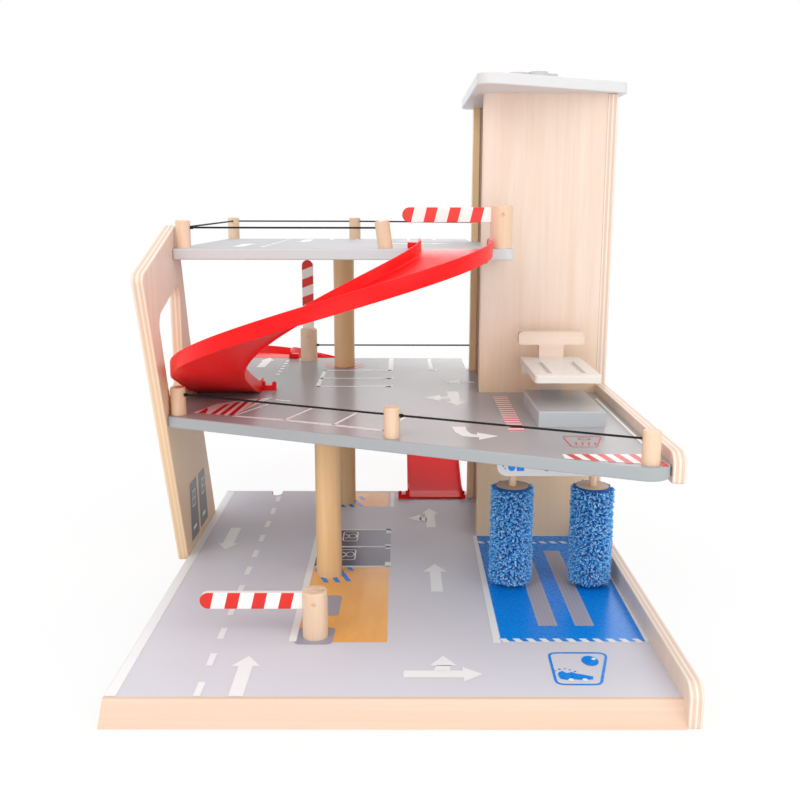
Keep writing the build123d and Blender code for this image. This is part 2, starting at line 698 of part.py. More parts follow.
def screws():
    deck_mid = {"mid": mid_level - deck_thick / 2, "top": top_level - deck_thick / 2}
    right_face, left_face = inner_width + ply_thick, -ply_thick
    side_places = []
    for y in (80.0, 300.0, base_depth - 40):
        side_places.append(((right_face, y, -base_board_thick / 2), (-1, 0, 0), screw_length))
    for y in (130.0, 350.0):
        side_places.append(((right_face, y, deck_mid["mid"]), (-1, 0, 0), screw_length))
    for z in (60.0, 280.0, 480.0):
        for y in (tower_front + ply_thick / 2, tower_back - ply_thick / 2):
            side_places.append(((right_face, y, z), (-1, 0, 0), screw_length))
    fasten("side_panel_screws", side_places,
           ["right_side_panel", "base_board", "mid_deck", "tower_front_panel", "tower_back_panel"])
    left_places = [((left_face, y, deck_mid["mid"]), (1, 0, 0), screw_length) for y in (285.0, 380.0)]
    left_places += [((left_face, y, deck_mid["top"]), (1, 0, 0), screw_length) for y in (328.0,)]
    left_places += [((left_face, y, -2.4), (1, 0, 0), screw_length) for y in (350.0, 450.0)]
    fasten("left_panel_screws", left_places[:3], ["left_panel", "mid_deck", "top_deck"])
    roof_places = []
    for x in (tower_left + 20, inner_width - 20):
        for y in (tower_front + ply_thick / 2, tower_back - ply_thick / 2):
            roof_places.append(((x, y, roof_top), (0, 0, -1), screw_length))
    fasten("roof_screws", roof_places, ["tower_roof", "tower_front_panel", "tower_back_panel"])


def main():
    base_pieces()
    left_panel()
    right_side_panel()
    mid_deck()
    top_deck()
    column("lower_front_column", lower_front_column_at, 0, mid_level - deck_thick)
    column("lower_back_column", lower_back_column_at, 0, mid_level - deck_thick)
    column("upper_column", upper_column_at, mid_level, top_level - deck_thick)
    front_bore, top_bore, back_bore = fence()
    pins = [barrier("base", base_barrier_at, 0, False),
            barrier("mid", mid_barrier_at, mid_level, True, back_bore),
            barrier("top", top_barrier_at, top_level, False)]
    keep("barrier_pins", Compound(children=[Part(p.wrapped) for p in pins]))
    ramp("upper_ramp", (upper_ramp_right, top_front), upper_ramp_radius, upper_ramp_runs, upper_ramp_lugs,
         (top_level, mid_level), False)
    ramp("lower_ramp", (lower_ramp_left, deck_back), lower_ramp_radius, lower_ramp_runs, lower_ramp_lugs,
         (mid_level, 0.0), True)
    tower()
    nodes["tower_back_panel"] = nodes["tower_back_panel"] - top_bore - back_bore
    hoist()
    wash_sign()
    for side, x in brush_x.items():
        brush(side, x)
    crank(lift_car())
    screws()
    for name, shape in nodes.items():
        export_step(shape.moved(Location(row_origin)), "parts/" + name + ".step")
    print(len(nodes), "nodes; row frame offset", row_origin)


if __name__ == "__main__":
    main()
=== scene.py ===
import math
import random

import bpy
from mathutils import Matrix, Vector


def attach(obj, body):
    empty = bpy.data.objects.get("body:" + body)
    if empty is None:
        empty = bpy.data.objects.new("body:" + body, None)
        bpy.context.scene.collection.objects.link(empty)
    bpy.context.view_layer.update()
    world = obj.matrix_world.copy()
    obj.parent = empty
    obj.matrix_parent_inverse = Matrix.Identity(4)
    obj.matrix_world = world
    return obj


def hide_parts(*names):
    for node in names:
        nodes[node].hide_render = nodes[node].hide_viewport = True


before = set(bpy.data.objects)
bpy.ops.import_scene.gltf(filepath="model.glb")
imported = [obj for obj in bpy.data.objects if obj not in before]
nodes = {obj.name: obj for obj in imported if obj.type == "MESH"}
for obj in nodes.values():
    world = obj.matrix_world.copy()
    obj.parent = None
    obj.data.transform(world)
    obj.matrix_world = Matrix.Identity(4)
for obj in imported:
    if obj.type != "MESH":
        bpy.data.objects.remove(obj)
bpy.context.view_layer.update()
scene = bpy.context.scene
random.seed(11)

# The design frame is in millimetres. Its zero is the front left corner of the base's top:
# x runs to the right, y to the back, z up. ORIGIN is that corner in the shared frame, in metres.
ORIGIN = Vector((-0.245, -0.412775, 0.018))
BASE_TOP, MID_TOP, TOP_TOP = 0, 181, 354     # heights of the three levels
CORD_RISE = 22                               # a fence cord above its deck
ARM_RISE = 36                                # a level barrier arm's middle above its deck
PRINT_LIFT = 0.12                            # one layer of print above its board
GARAGE = "garage"
PRINTED = "printed_board"


def at(x, y, z):
    """A point of the design frame, in the shared frame."""
    return Vector((x, y, z)) * 0.001 + ORIGIN


# ---------------------------------------------------------------- node helpers

def math_node(tree, operation, *values):
    """A Math node; each value is a number or a socket."""
    node = tree.nodes.new("ShaderNodeMath")
    node.operation = operation
    for socket, value in zip(node.inputs, values):
        if isinstance(value, (int, float)):
            socket.default_value = value
        else:
            tree.links.new(value, socket)
    return node.outputs[0]


def map_range(tree, value, low, high, start=0.0, end=1.0, kind="LINEAR"):
    """Low where the value is start, high where it is end."""
    node = tree.nodes.new("ShaderNodeMapRange")
    node.interpolation_type = kind
    tree.links.new(value, node.inputs["Value"])
    limits = {"From Min": start, "From Max": end, "To Min": low, "To Max": high}
    for socket, limit in limits.items():
        node.inputs[socket].default_value = limit
    return node.outputs[0]


# ---------------------------------------------------------------- camera and light

FOCAL_PX, PHOTO_PX, SENSOR = 930.0, 800.0, 36.0
CAMERA_PLACE = 244.2, -705.8, 396.0
CAMERA_ANGLES = 11.6, 0.1, 0.1               # down, to the right and rolled, in degrees
AMBIENT = 0.90                               # the world's strength on the object
FLOOR_REACH, FLOOR_DROP = 9.0, 0.0004        # in metres
GLOW_NEAR, GLOW_FAR = 0.45, 1.6              # between these distances the glow grows, in metres
GLOW_LOW = 0.88                              # its share close to the object

LAMPS = {
    # name: place, target, size, watts, colour
    "key": ((-1.1, -1.7, 1.7), (0, 0, 0.25), 1.3, 10, (1, 1, 1)),
    "fill": ((1.5, -1.4, 1.2), (0, 0, 0.25), 1.4, 7.5, (1, 1, 1)),
    "over": ((0.1, 0.5, 2.1), (0, 0, 0.2), 1.6, 8.5, (1, 1, 1)),
    "low": ((0.1, -1.7, 0.2), (0, 0, 0.1), 1.1, 5.5, (1, 0.95, 0.9)),
    "rear": ((0.3, 2.2, 1.1), (0, 0.1, 0.2), 1.4, 7, (1, 1, 1)),
}


def make_camera():
    """The camera that was fitted to the photograph."""
    tilt, yaw, roll = (math.radians(angle) for angle in CAMERA_ANGLES)
    ahead = Vector((math.sin(yaw) * math.cos(tilt), math.cos(yaw) * math.cos(tilt),
                    -math.sin(tilt)))
    level = Vector((math.cos(yaw), -math.sin(yaw), 0))
    above = level.cross(ahead)
    right = math.cos(roll) * level + math.sin(roll) * above
    up = -math.sin(roll) * level + math.cos(roll) * above
    data = bpy.data.cameras.new("camera")
    data.sensor_width = SENSOR
    data.lens = FOCAL_PX / PHOTO_PX * SENSOR
    data.clip_end = 50.0
    camera = bpy.data.objects.new("camera", data)
    scene.collection.objects.link(camera)
    turn = Matrix((right, up, -ahead)).transposed().to_4x4()
    camera.matrix_world = Matrix.Translation(at(*CAMERA_PLACE)) @ turn
    scene.camera = camera


def make_lamp(name, place, target, size, watts, color):
    data = bpy.data.lights.new(name, "AREA")
    data.shape = "DISK"
    data.size = size
    data.energy = watts
    data.color = color
    lamp = bpy.data.objects.new(name, data)
    scene.collection.objects.link(lamp)
    lamp.location = place
    lamp.rotation_euler = (Vector(target) - Vector(place)).to_track_quat("-Z", "Y").to_euler()


def seen_directly(tree):
    """1 for rays from the camera, from gloss and through glass."""
    path = tree.nodes.new("ShaderNodeLightPath")
    camera_or_gloss = math_node(tree, "MAXIMUM", path.outputs["Is Camera Ray"],
                                path.outputs["Is Glossy Ray"])
    return math_node(tree, "MAXIMUM", camera_or_gloss, path.outputs["Is Transmission Ray"])


def make_world():
    """White where it is seen, a little less on the object."""
    world = bpy.data.worlds.new("studio")
    scene.world = world
    world.use_nodes = True
    tree = world.node_tree
    back = tree.nodes["Background"]
    back.inputs["Color"].default_value = (1, 1, 1, 1)
    tree.links.new(map_range(tree, seen_directly(tree), AMBIENT, 1.0), back.inputs["Strength"])


def make_floor():
    """A pale floor that takes the object's shadow and glows white farther out."""
    mesh = bpy.data.meshes.new("floor")
    corners = [(x * FLOOR_REACH, y * FLOOR_REACH, -FLOOR_DROP)
               for x, y in ((-1, -1), (1, -1), (1, 1), (-1, 1))]
    mesh.from_pydata(corners, [], [(0, 1, 2, 3)])
    floor = bpy.data.objects.new("floor", mesh)
    scene.collection.objects.link(floor)
    material = bpy.data.materials.new("floor_white")
    material.use_nodes = True
    tree = material.node_tree
    matt = tree.nodes["Principled BSDF"]
    matt.inputs["Base Color"].default_value = (0.86, 0.86, 0.86, 1)
    matt.inputs["Roughness"].default_value = 0.9
    glow = tree.nodes.new("ShaderNodeEmission")
    glow.inputs["Strength"].default_value = 1.0
    where = tree.nodes.new("ShaderNodeTexCoord")
    away = tree.nodes.new("ShaderNodeVectorMath")
    away.operation = "LENGTH"
    tree.links.new(where.outputs["Object"], away.inputs[0])
    spread = map_range(tree, away.outputs["Value"], GLOW_LOW, 1.0, GLOW_NEAR, GLOW_FAR,
                       "SMOOTHSTEP")
    share = math_node(tree, "MULTIPLY", seen_directly(tree), spread)
    blend = tree.nodes.new("ShaderNodeMixShader")
    for source, socket in zip((share, matt.outputs[0], glow.outputs[0]), blend.inputs):
        tree.links.new(source, socket)
    tree.links.new(blend.outputs[0], tree.nodes["Material Output"].inputs["Surface"])
    mesh.materials.append(material)


# ---------------------------------------------------------------- materials

def srgb(red, green, blue):
    """A colour of 0 to 255, made linear."""
    out = []
    for value in (red, green, blue):
        v = value / 255
        out.append(v / 12.92 if v <= 0.04045 else ((v + 0.055) / 1.055) ** 2.4)
    return (*out, 1.0)


def dimmed(color, share):
    return tuple(share * c for c in color[:3]) + (1.0,)


class Paint:
    """A Principled material with short calls for the nodes that colour it."""

    def __init__(self, name, roughness=0.5, **sockets):
        self.material = bpy.data.materials.new(name)
        self.material.use_nodes = True
        self.tree = self.material.node_tree
        self.shader = self.tree.nodes["Principled BSDF"]
        self.shader.inputs["Roughness"].default_value = roughness
        self.shader.inputs["Specular IOR Level"].default_value = 0.3
        for socket, value in sockets.items():
            self.shader.inputs[socket.replace("_", " ")].default_value = value
        self.where = self.tree.nodes.new("ShaderNodeTexCoord")
        self.place = self.where.outputs["Object"]

    def link(self, source, target):
        self.tree.links.new(source, target)

    def math(self, operation, first, second=0.0):
        return math_node(self.tree, operation, first, second)

    def noise(self, vector, scale=1.0, detail=3.0, rough=0.5, distortion=0.0):
        node = self.tree.nodes.new("ShaderNodeTexNoise")
        node.inputs["Scale"].default_value = scale
        node.inputs["Detail"].default_value = detail
        node.inputs["Roughness"].default_value = rough
        node.inputs["Distortion"].default_value = distortion
        self.link(vector, node.inputs["Vector"])
        return node.outputs[0]

    def grain(self, axis, across, along, detail, rough, distortion=0.0):
        """Noise that is drawn out along an axis; across and along count features per metre."""
        node = self.tree.nodes.new("ShaderNodeMapping")
        node.inputs["Scale"].default_value = [along if way == axis else across for way in "XYZ"]
        self.link(self.place, node.inputs["Vector"])
        return self.noise(node.outputs[0], 1.0, detail, rough, distortion)

    def ramp(self, factor, *stops):
        """Colours at places from 0 to 1."""
        node = self.tree.nodes.new("ShaderNodeValToRGB")
        while len(node.color_ramp.elements) < len(stops):
            node.color_ramp.elements.new(0.5)
        for element, (place, color) in zip(node.color_ramp.elements, stops):
            element.position = place
            element.color = color
        self.link(factor, node.inputs[0])
        return node.outputs[0]

    def mix(self, factor, first, second):
        node = self.tree.nodes.new("ShaderNodeMix")
        node.data_type = "RGBA"
        for index, value in ((0, factor), (6, first), (7, second)):
            if isinstance(value, (int, float, tuple)):
                node.inputs[index].default_value = value
            else:
                self.link(value, node.inputs[index])
        return node.outputs[2]

    def part(self, axis, vector=None):
        """One coordinate of a vector, or of the place on the piece."""
        node = self.tree.nodes.new("ShaderNodeSeparateXYZ")
        self.link(vector or self.place, node.inputs[0])
        return node.outputs["XYZ".index(axis)]

    def facing(self, axis, more_than):
        """1 where the surface faces along the axis, either way."""
        toward = self.math("ABSOLUTE", self.part(axis, self.where.outputs["Normal"]))
        return self.math("GREATER_THAN", toward, more_than)

    def upward(self):
        return self.math("GREATER_THAN", self.part("Z", self.where.outputs["Normal"]), 0.7)

    def bump(self, height, strength, distance):
        node = self.tree.nodes.new("ShaderNodeBump")
        node.inputs["Strength"].default_value = strength
        node.inputs["Distance"].default_value = distance
        self.link(height, node.inputs["Height"])
        self.link(node.outputs[0], self.shader.inputs["Normal"])

    def gloss(self, value, low, high):
        """Roughness that wanders from low to high."""
        self.link(map_range(self.tree, value, low, high), self.shader.inputs["Roughness"])

    def color(self, value):
        self.link(value, self.shader.inputs["Base Color"])
        return self.material


PLY_PAIR = 0.0048                            # a pale and a dark ply, in metres
BOUNCE_GOLD = srgb(240, 202, 150)                 # painted warm bounce light on sheet wood close to the floor
BLACK, WHITE = (0, 0, 0, 1), (1, 1, 1, 1)


def wood(name, pale, deep, axis, across=95, along=4.0, sheet=None, start=0.0, roughness=0.42,
         contrast=0.75, bounce_lit_below=None):
    """Sawn or turned wood with its grain along an axis.

    A sheet shows its plies on its edges; sheet is the axis across it, and start is where its
    plies begin. Below a given height the wood turns golden: painted warm bounce light in the
    shade near the floor.
    """
    paint = Paint(name, roughness)
    figure = paint.grain(axis, across, along, 4.0, 0.55, 0.6)
    fibre = paint.grain(axis, 1500, 22, 2.0, 0.6)
    broad = paint.grain(axis, 22, 3, 2.0, 0.5, 0.3)
    low, high = 0.5 - 0.2 / contrast, 0.5 + 0.24 / contrast
    face = paint.ramp(figure, (low, pale), (high, deep))
    warm = tuple(0.5 * a + 0.5 * b for a, b in zip(pale, deep))
    face = paint.mix(paint.math("MULTIPLY", broad, 0.5), face, warm)
    streaks = paint.math("MULTIPLY", paint.math("GREATER_THAN", fibre, 0.64), 0.22)
    face = paint.mix(streaks, face, dimmed(deep, 0.82))
    if sheet:
        depth = paint.math("SUBTRACT", paint.part(sheet), start)
        ply = paint.math("FRACT", paint.math("DIVIDE", depth, PLY_PAIR))
        glue, between = dimmed(deep, 0.72), dimmed(deep, 0.96)
        layers = paint.ramp(ply, (0.0, glue), (0.05, pale), (0.47, pale), (0.5, glue),
                            (0.53, between), (0.96, between), (1.0, glue))
        face = paint.mix(paint.facing(sheet, 0.6), layers, face)
    # Painted bounce light: low down, the wood is mixed toward a golden tone for the warm light the
    # wood throws into the shade under the decks.
    if bounce_lit_below:
        height = paint.math("DIVIDE", paint.part("Z"), bounce_lit_below)
        painted_bounce = paint.ramp(height, (0.55, WHITE), (1.0, BLACK))
        face = paint.mix(painted_bounce, face, paint.mix(0.55, face, BOUNCE_GOLD))
    paint.bump(fibre, 0.16, 0.0002)
    return paint.color(face)


def board(name, top, rest, gloss=(0.22, 0.34), level=0.12):
    """A painted board: one colour above, another on its edges and underside."""
    paint = Paint(name, 0.3, Specular_IOR_Level=level)
    cloud = paint.noise(paint.place, 14, 3)
    speck = paint.noise(paint.place, 900, 2)
    upper = paint.mix(paint.math("MULTIPLY", cloud, 0.6), top, dimmed(top, 0.93))
    lower = paint.mix(paint.math("MULTIPLY", speck, 0.7), rest, dimmed(rest, 0.9))
    paint.gloss(cloud, *gloss)
    paint.bump(speck, 0.05, 0.0001)
    return paint.color(paint.mix(paint.upward(), lower, upper))


def plain(name, color, roughness=0.4, vary=0.08, bump=0.06, scale=420, **sockets):
    """One colour with a slight cloudiness and a fine skin."""
    paint = Paint(name, roughness, **sockets)
    cloud = paint.noise(paint.place, 30, 3)
    speck = paint.noise(paint.place, scale, 2)
    paint.gloss(speck, max(roughness - 0.06, 0.05), min(roughness + 0.06, 1.0))
    if bump:
        paint.bump(speck, bump, 0.00015)
    return paint.color(paint.mix(cloud, color, dimmed(color, 1 - vary)))


# The stripes of the barrier arms, in metres along the arm.
STRIPE_PITCH, STRIPE_START = 0.0252, 0.0005
STRIPE_SHARE = 0.476                         # the red share of the pitch
STRIPED_LENGTH = 0.094


def striped_arm(name, tip, middle, along, across, sign, slope):
    """White paint with red stripes from the tip, which lean by slope from the middle line."""
    paint = Paint(name, 0.3)
    run = paint.math("MULTIPLY", paint.math("SUBTRACT", paint.part(along), tip), sign)
    lean = paint.math("MULTIPLY", paint.part(across), slope)
    place = paint.math("ADD", paint.math("ADD", run, lean), -slope * middle)
    beats = paint.math("DIVIDE", paint.math("ADD", place, STRIPE_START), STRIPE_PITCH)
    red = paint.math("LESS_THAN", paint.math("FRACT", beats), STRIPE_SHARE)
    near_tip = paint.math("LESS_THAN", place, STRIPED_LENGTH)
    cover = paint.math("MULTIPLY", paint.math("MULTIPLY", red, near_tip), paint.facing("Y", 0.3))
    speck = paint.noise(paint.place, 500, 2)
    paint.bump(speck, 0.05, 0.0001)
    white = paint.mix(speck, srgb(247, 246, 244), srgb(236, 235, 232))
    return paint.color(paint.mix(cover, white, srgb(222, 52, 44)))


# Pale and deep tones of each wood.
PLY = srgb(236, 219, 206), srgb(224, 197, 176)
PINE = srgb(228, 203, 183), srgb(217, 181, 156)
# The lift guide strips get a paler, brighter copy of the pine: painted light that makes up for the
# shade inside the closed shaft.
STRIP_PAINTED_LIGHT = srgb(250, 222, 180), srgb(240, 202, 152)
DOWEL = srgb(235, 209, 185), srgb(219, 185, 150)
# The columns get an oranger copy of the dowel's wood: painted warm bounce light from the wood
# fields in the shade of the lower storey.
COLUMN_BOUNCE_LIT = srgb(236, 200, 155), srgb(220, 176, 126)
FLOORBOARDS = srgb(250, 190, 108), srgb(228, 156, 80)

mats = {
    "ply_side": wood("ply_side", *PLY, "Z", sheet="X", start=at(480, 0, 0).x),
    "ply_left": wood("ply_left", *PLY, "Z", sheet="X", start=at(-12, 0, 0).x, bounce_lit_below=0.36),
    "ply_front": wood("ply_front", *PLY, "Z", sheet="Y", start=at(0, 388.5, 0).y,
                      bounce_lit_below=0.3),
    "ply_back": wood("ply_back", *PLY, "Z", sheet="Y", start=at(0, 548, 0).y),
    "ply_handle": wood("ply_handle", *PLY, "X", across=120, sheet="Y", start=at(0, 347, 0).y),
    "pine_x": wood("pine_x", *PINE, "X", across=105, along=0.9, contrast=0.9),
    "pine_y": wood("pine_y", *PINE, "Y", across=70, along=2.0),
    "pine_z": wood("pine_z", *STRIP_PAINTED_LIGHT, "Z", across=90, along=3.0),
    "dowel": wood("dowel", *DOWEL, "Z", across=75, along=3.2, contrast=0.8),
    "column": wood("column", *COLUMN_BOUNCE_LIT, "Z", across=75, along=3.2, contrast=0.8),
    "car_paint": wood("car_paint", *PLY, "X", across=80),
    "grey_deck": board("grey_deck", srgb(170, 168, 170), srgb(168, 173, 176), (0.2, 0.3), 0.07),
    "pale_deck": board("pale_deck", srgb(192, 191, 194), srgb(208, 211, 213), (0.5, 0.62), 0.08),
    "hoist_grey": board("hoist_grey", srgb(176, 176, 176), srgb(190, 196, 199), (0.2, 0.3)),
    "base_print": board("base_print", srgb(214, 212, 220), srgb(186, 148, 108), (0.36, 0.48)),
    "white_paint": plain("white_paint", srgb(217, 217, 218), 0.4, vary=0.03),
    "platform": plain("platform", srgb(232, 228, 222), 0.3),
    "white_plastic": plain("white_plastic", srgb(202, 202, 204), 0.3, vary=0.03, bump=0.03),
    "red_plastic": plain("red_plastic", srgb(240, 24, 26), 0.32, vary=0.04, bump=0.04,
                         scale=160, Specular_IOR_Level=0.14),
    "black_elastic": plain("black_elastic", srgb(22, 22, 24), 0.75, vary=0.3, bump=0.5,
                           scale=2600),
    "string": plain("string", srgb(226, 222, 210), 0.8, vary=0.15, bump=0.6, scale=3000),
    "steel": plain("steel", srgb(186, 186, 188), 0.32, bump=0.1, scale=1500, Metallic=1.0),
}

# Posts, pins, axles and the other turned pieces aren't listed: they get the dowel's wood.
NODES_OF = {
    "ply_side": ["right_side_panel"],
    "ply_left": ["left_panel"],
    "ply_front": ["tower_front_panel"],
    "ply_back": ["tower_back_panel"],
    "ply_handle": ["hoist_handle"],
    "pine_x": ["base_front_ramp", "hoist_guide"],
    "pine_y": ["base_runners"],
    "pine_z": ["lift_guide_strips"],
    "grey_deck": ["mid_deck"],
    "pale_deck": ["top_deck"],
    "hoist_grey": ["hoist_block"],
    "base_print": ["base_board"],
    "white_paint": ["tower_roof", "wash_sign"],
    "platform": ["hoist_platform", "hoist_platform_batten"],
    "car_paint": ["lift_car_floor", "lift_car_side_front", "lift_car_side_back", "lift_car_top"],
    "white_plastic": ["crank_knob", "winding_spool"],
    "black_elastic": ["fence_cord_mid_front", "fence_cord_mid_back", "fence_cord_top"],
    "string": ["lift_cord", "lift_cord_lead"],
    "column": ["lower_front_column", "lower_back_column", "upper_column"],
    "steel": ["lift_hook", "guide_eye", "crank_shaft", "side_panel_screws",
              "left_panel_screws", "roof_screws"],
}


def dress_nodes():
    """Give each CAD node its material."""
    given = {node: mats[key] for key, members in NODES_OF.items() for node in members}
    given["base_barrier_arm"] = striped_arm(
        "arm_base", at(58, 0, 0).x, at(0, 0, BASE_TOP + ARM_RISE).z, "X", "Z", 1, -0.24)
    given["top_barrier_arm"] = striped_arm(
        "arm_top", at(248, 0, 0).x, at(0, 0, TOP_TOP + ARM_RISE).z, "X", "Z", 1, -0.24)
    given["mid_barrier_arm"] = striped_arm(
        "arm_mid", at(0, 0, 325).z, at(114.5, 0, 0).x, "Z", "X", -1, 0.38)
    for name, node in nodes.items():
        node.data.materials.clear()
        node.data.materials.append(given.get(name, mats["dowel"]))


# ---------------------------------------------------------------- meshes and outlines

def add_piece(name, verts, faces, body, slot, material, smooth=False):
    mesh = bpy.data.meshes.new(name)
    mesh.from_pydata(verts, [], faces)
    mesh.update()
    if smooth:
        mesh.polygons.foreach_set("use_smooth", [True] * len(mesh.polygons))
    mesh.materials.append(material)
    piece = bpy.data.objects.new(name, mesh)
    scene.collection.objects.link(piece)
    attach(piece, body)
    return piece


def bands(first, rings, sides, closed=False):
    """The quads between rings of vertices; the first ring starts at index first."""
    out = []
    for r in range(rings if closed else rings - 1):
        near, far = first + r * sides, first + (r + 1) % rings * sides
        for k in range(sides):
            j = (k + 1) % sides
            out.append((near + k, near + j, far + j, far + k))
    return out


def rect(x0, x1, y0, y1):
    return [(x0, y0), (x1, y0), (x1, y1), (x0, y1)]


def bar(start, end, width):
    """A straight line of a given width."""
    dx, dy = end[0] - start[0], end[1] - start[1]
    n = math.hypot(dx, dy)
    ox, oy = -dy / n * width / 2, dx / n * width / 2
    return [(start[0] + ox, start[1] + oy), (start[0] - ox, start[1] - oy),
            (end[0] - ox, end[1] - oy), (end[0] + ox, end[1] + oy)]


def dashes(x0, x1, first, length, pitch, count):
    """A broken line that runs to the back."""
    return [rect(x0, x1, first + pitch * k, first + pitch * k + length) for k in range(count)]


def arrow(tail, tip, width, head_width, head_length):
    dx, dy = tip[0] - tail[0], tip[1] - tail[1]
    n = math.hypot(dx, dy)
    ux, uy = dx / n, dy / n
    neck = (tip[0] - ux * head_length, tip[1] - uy * head_length)

    def off(p, side):
        return (p[0] - uy * side, p[1] + ux * side)

    return [off(tail, width / 2), off(tail, -width / 2), off(neck, -width / 2),
            off(neck, -head_width / 2), tip, off(neck, head_width / 2), off(neck, width / 2)]


def disc(cx, cy, rx, ry=None):
    """A round or oval outline."""
    ry = rx if ry is None else ry
    sides = 24
    turns = [2 * math.pi * i / sides for i in range(sides)]
    return [(cx + rx * math.cos(a), cy + ry * math.sin(a)) for a in turns]


def rounded(corners, radius):
    """A closed outline with its corners rounded."""
    out, steps = [], 6
    for i, corner in enumerate(corners):
        c = Vector(corner)
        a, b = Vector(corners[i - 1]) - c, Vector(corners[(i + 1) % len(corners)]) - c
        half = a.angle(b) / 2
        reach = min(radius / math.tan(half), a.length * 0.49, b.length * 0.49)
        start, end = c + a.normalized() * reach, c + b.normalized() * reach
        for k in range(steps + 1):
            t = k / steps
            p = (1 - t) ** 2 * start + 2 * t * (1 - t) * c + t ** 2 * end
            out.append((p.x, p.y))
    return out


def loop(outline, width):
    """The line that runs round an outline, on its inner side, as quads."""
    count = len(outline)
    cx = sum(p[0] for p in outline) / count
    cy = sum(p[1] for p in outline) / count
    inner = []
    for i, p in enumerate(outline):
        a, b = Vector(outline[i - 1]), Vector(outline[(i + 1) % count])
        n = Vector((a.y - b.y, b.x - a.x))
        n.normalize()
        if n.dot(Vector((cx - p[0], cy - p[1]))) < 0:
            n = -n
        inner.append((p[0] + n.x * width, p[1] + n.y * width))
    return [[outline[i - 1], outline[i], inner[i], inner[i - 1]] for i in range(count)]


def wash_edge(x0, x1, y0, y1):
    """The slanting dashes of a strip that runs to the right."""
    step, wide, lean = 12.5, 6.5, -4
    out, x = [], x0
    while x < x1:
        right = min(x + wide, x1)
        out.append([(x, y0), (right, y0), (right + lean, y1), (x + lean, y1)])
        x += step
    return out


def hatch(cx, cy, rx, ry, slope, pitch, wide, x_low=-1e3):
    """Parallel slanting stripes, kept inside a rounded field and to the right of x_low."""
    out, steps = [], 16
    for k in range(-8, 9):
        edge = []
        for i in range(steps + 1):
            y = ry * (2 * i / steps - 1)
            x = k * pitch + slope * y
            if (abs(x + wide / 2) / rx) ** 4 + (abs(y) / ry) ** 4 < 1.0 and cx + x > x_low:
                edge.append((cx + x, cy + y))
        if len(edge) > 1:
            out.append(edge + [(x + wide, y) for x, y in reversed(edge)])
    return out


# ---------------------------------------------------------------- printed marks

def print_shapes(name, shapes, place, material):
    """One flat piece of many outlines; place turns an outline's two numbers into a point."""
    verts, faces = [], []
    for shape in shapes:
        faces.append(list(range(len(verts), len(verts) + len(shape))))
        verts += [place(a, b) for a, b in shape]
    add_piece(name, verts, faces, GARAGE, PRINTED, material)


def marks(name, shapes, height, material, layer=1.0):
    """Prints on a board whose top is at the height, all facing up."""
    def place(x, y):
        return at(x, y, height + PRINT_LIFT * layer)

    def faces_up(shape):
        return sum(a[0] * b[1] - b[0] * a[1] for a, b in zip(shape, shape[1:] + shape[:1])) > 0

    print_shapes(name, [shape if faces_up(shape) else shape[::-1] for shape in shapes], place,
                 material)


ink = {
    "white": plain("ink_white", srgb(240, 240, 240), 0.4, 0.03, 0),
    "blue": plain("ink_blue", srgb(0, 136, 236), 0.28, 0.08, 0),
    "red": plain("ink_red", srgb(214, 40, 44), 0.3, 0.06, 0),
    "slate": plain("ink_slate", srgb(82, 78, 104), 0.3, 0.08, 0),
    "lilac": plain("ink_lilac", srgb(160, 157, 174), 0.3, 0.06, 0),
    "sign_grey": plain("ink_sign_grey", srgb(128, 130, 136), 0.4, 0.08, 0),
    "mesh_grey": plain("ink_mesh_grey", srgb(186, 184, 196), 0.35, 0.1, 0),
    "floorboards": wood("ink_floorboards", *FLOORBOARDS, "Y", across=38, along=9.0,
                        roughness=0.3),
}


def base_lines():
    """White lane lines, arrows and bays of the ground level."""
    white = [rect(0.5, 10, 0.3, 570)]
    white += dashes(74, 80, 0.5, 23.5, 52.3, 11)
    white.append(arrow((39, 416), (39, 340), 13, 24, 20))
    white.append(arrow((109.5, 0.3), (109.5, 71), 12.5, 26, 19))
    white.append(rect(142, 149, 100, 411))
    white.append(arrow((285.5, 216), (285.5, 294), 12.5, 27, 23))
    white.append(arrow((286, 418), (286, 494), 12.5, 24, 22))
    white += [[(281, 440), (281, 455), (272, 458), (272, 448)],
              [(256, 453), (274, 442), (274, 470)]]
    white.append(arrow((249, 38), (318, 38), 12.5, 26, 17))
    white += [[(275, 44), (290, 44), (291, 54), (279, 54)], [(272, 53), (297, 53), (285, 72)]]
    for y, width in ((286, 4.5), (349, 4.0), (409, 4.0)):
        white.append(bar((151, y), (235, y), width))
    white += [rect(229, 236, 286, 300), rect(229, 236, 341, 357), rect(229, 236, 396, 411)]
    white.append(bar((236, 501), (236, 566), 5))
    for y in (323, 385):
        white += loop(rounded([(176, y - 17), (195, y - 17), (195, y + 17), (176, y + 17)], 5), 1.6)
        white += loop(disc(188, y + 1, 5.5, 8), 1.4)
        white += [bar((179, y - 8), (184, y - 2), 1.8), bar((179, y + 8), (184, y + 2), 1.8)]
    return white


# The two wheel tracks of the car wash: left edges, width, length, and the mesh over them.
TRACKS, TRACK_WIDE, TRACK_Y = (380.5, 416), 18.5, (134, 336)
MESH_X, MESH_Y = 3.7, 4.04


def wash_mesh():
    """The fine mesh printed over the wheel tracks."""
    grid = []
    for x0 in TRACKS:
        for k in range(1, 5):
            grid.append(rect(x0 + MESH_X * k - 0.35, x0 + MESH_X * k + 0.35, *TRACK_Y))
        for k in range(1, 50):
            y = TRACK_Y[0] + MESH_Y * k
            grid.append(rect(x0, x0 + TRACK_WIDE, y - 0.4, y + 0.4))
    return grid


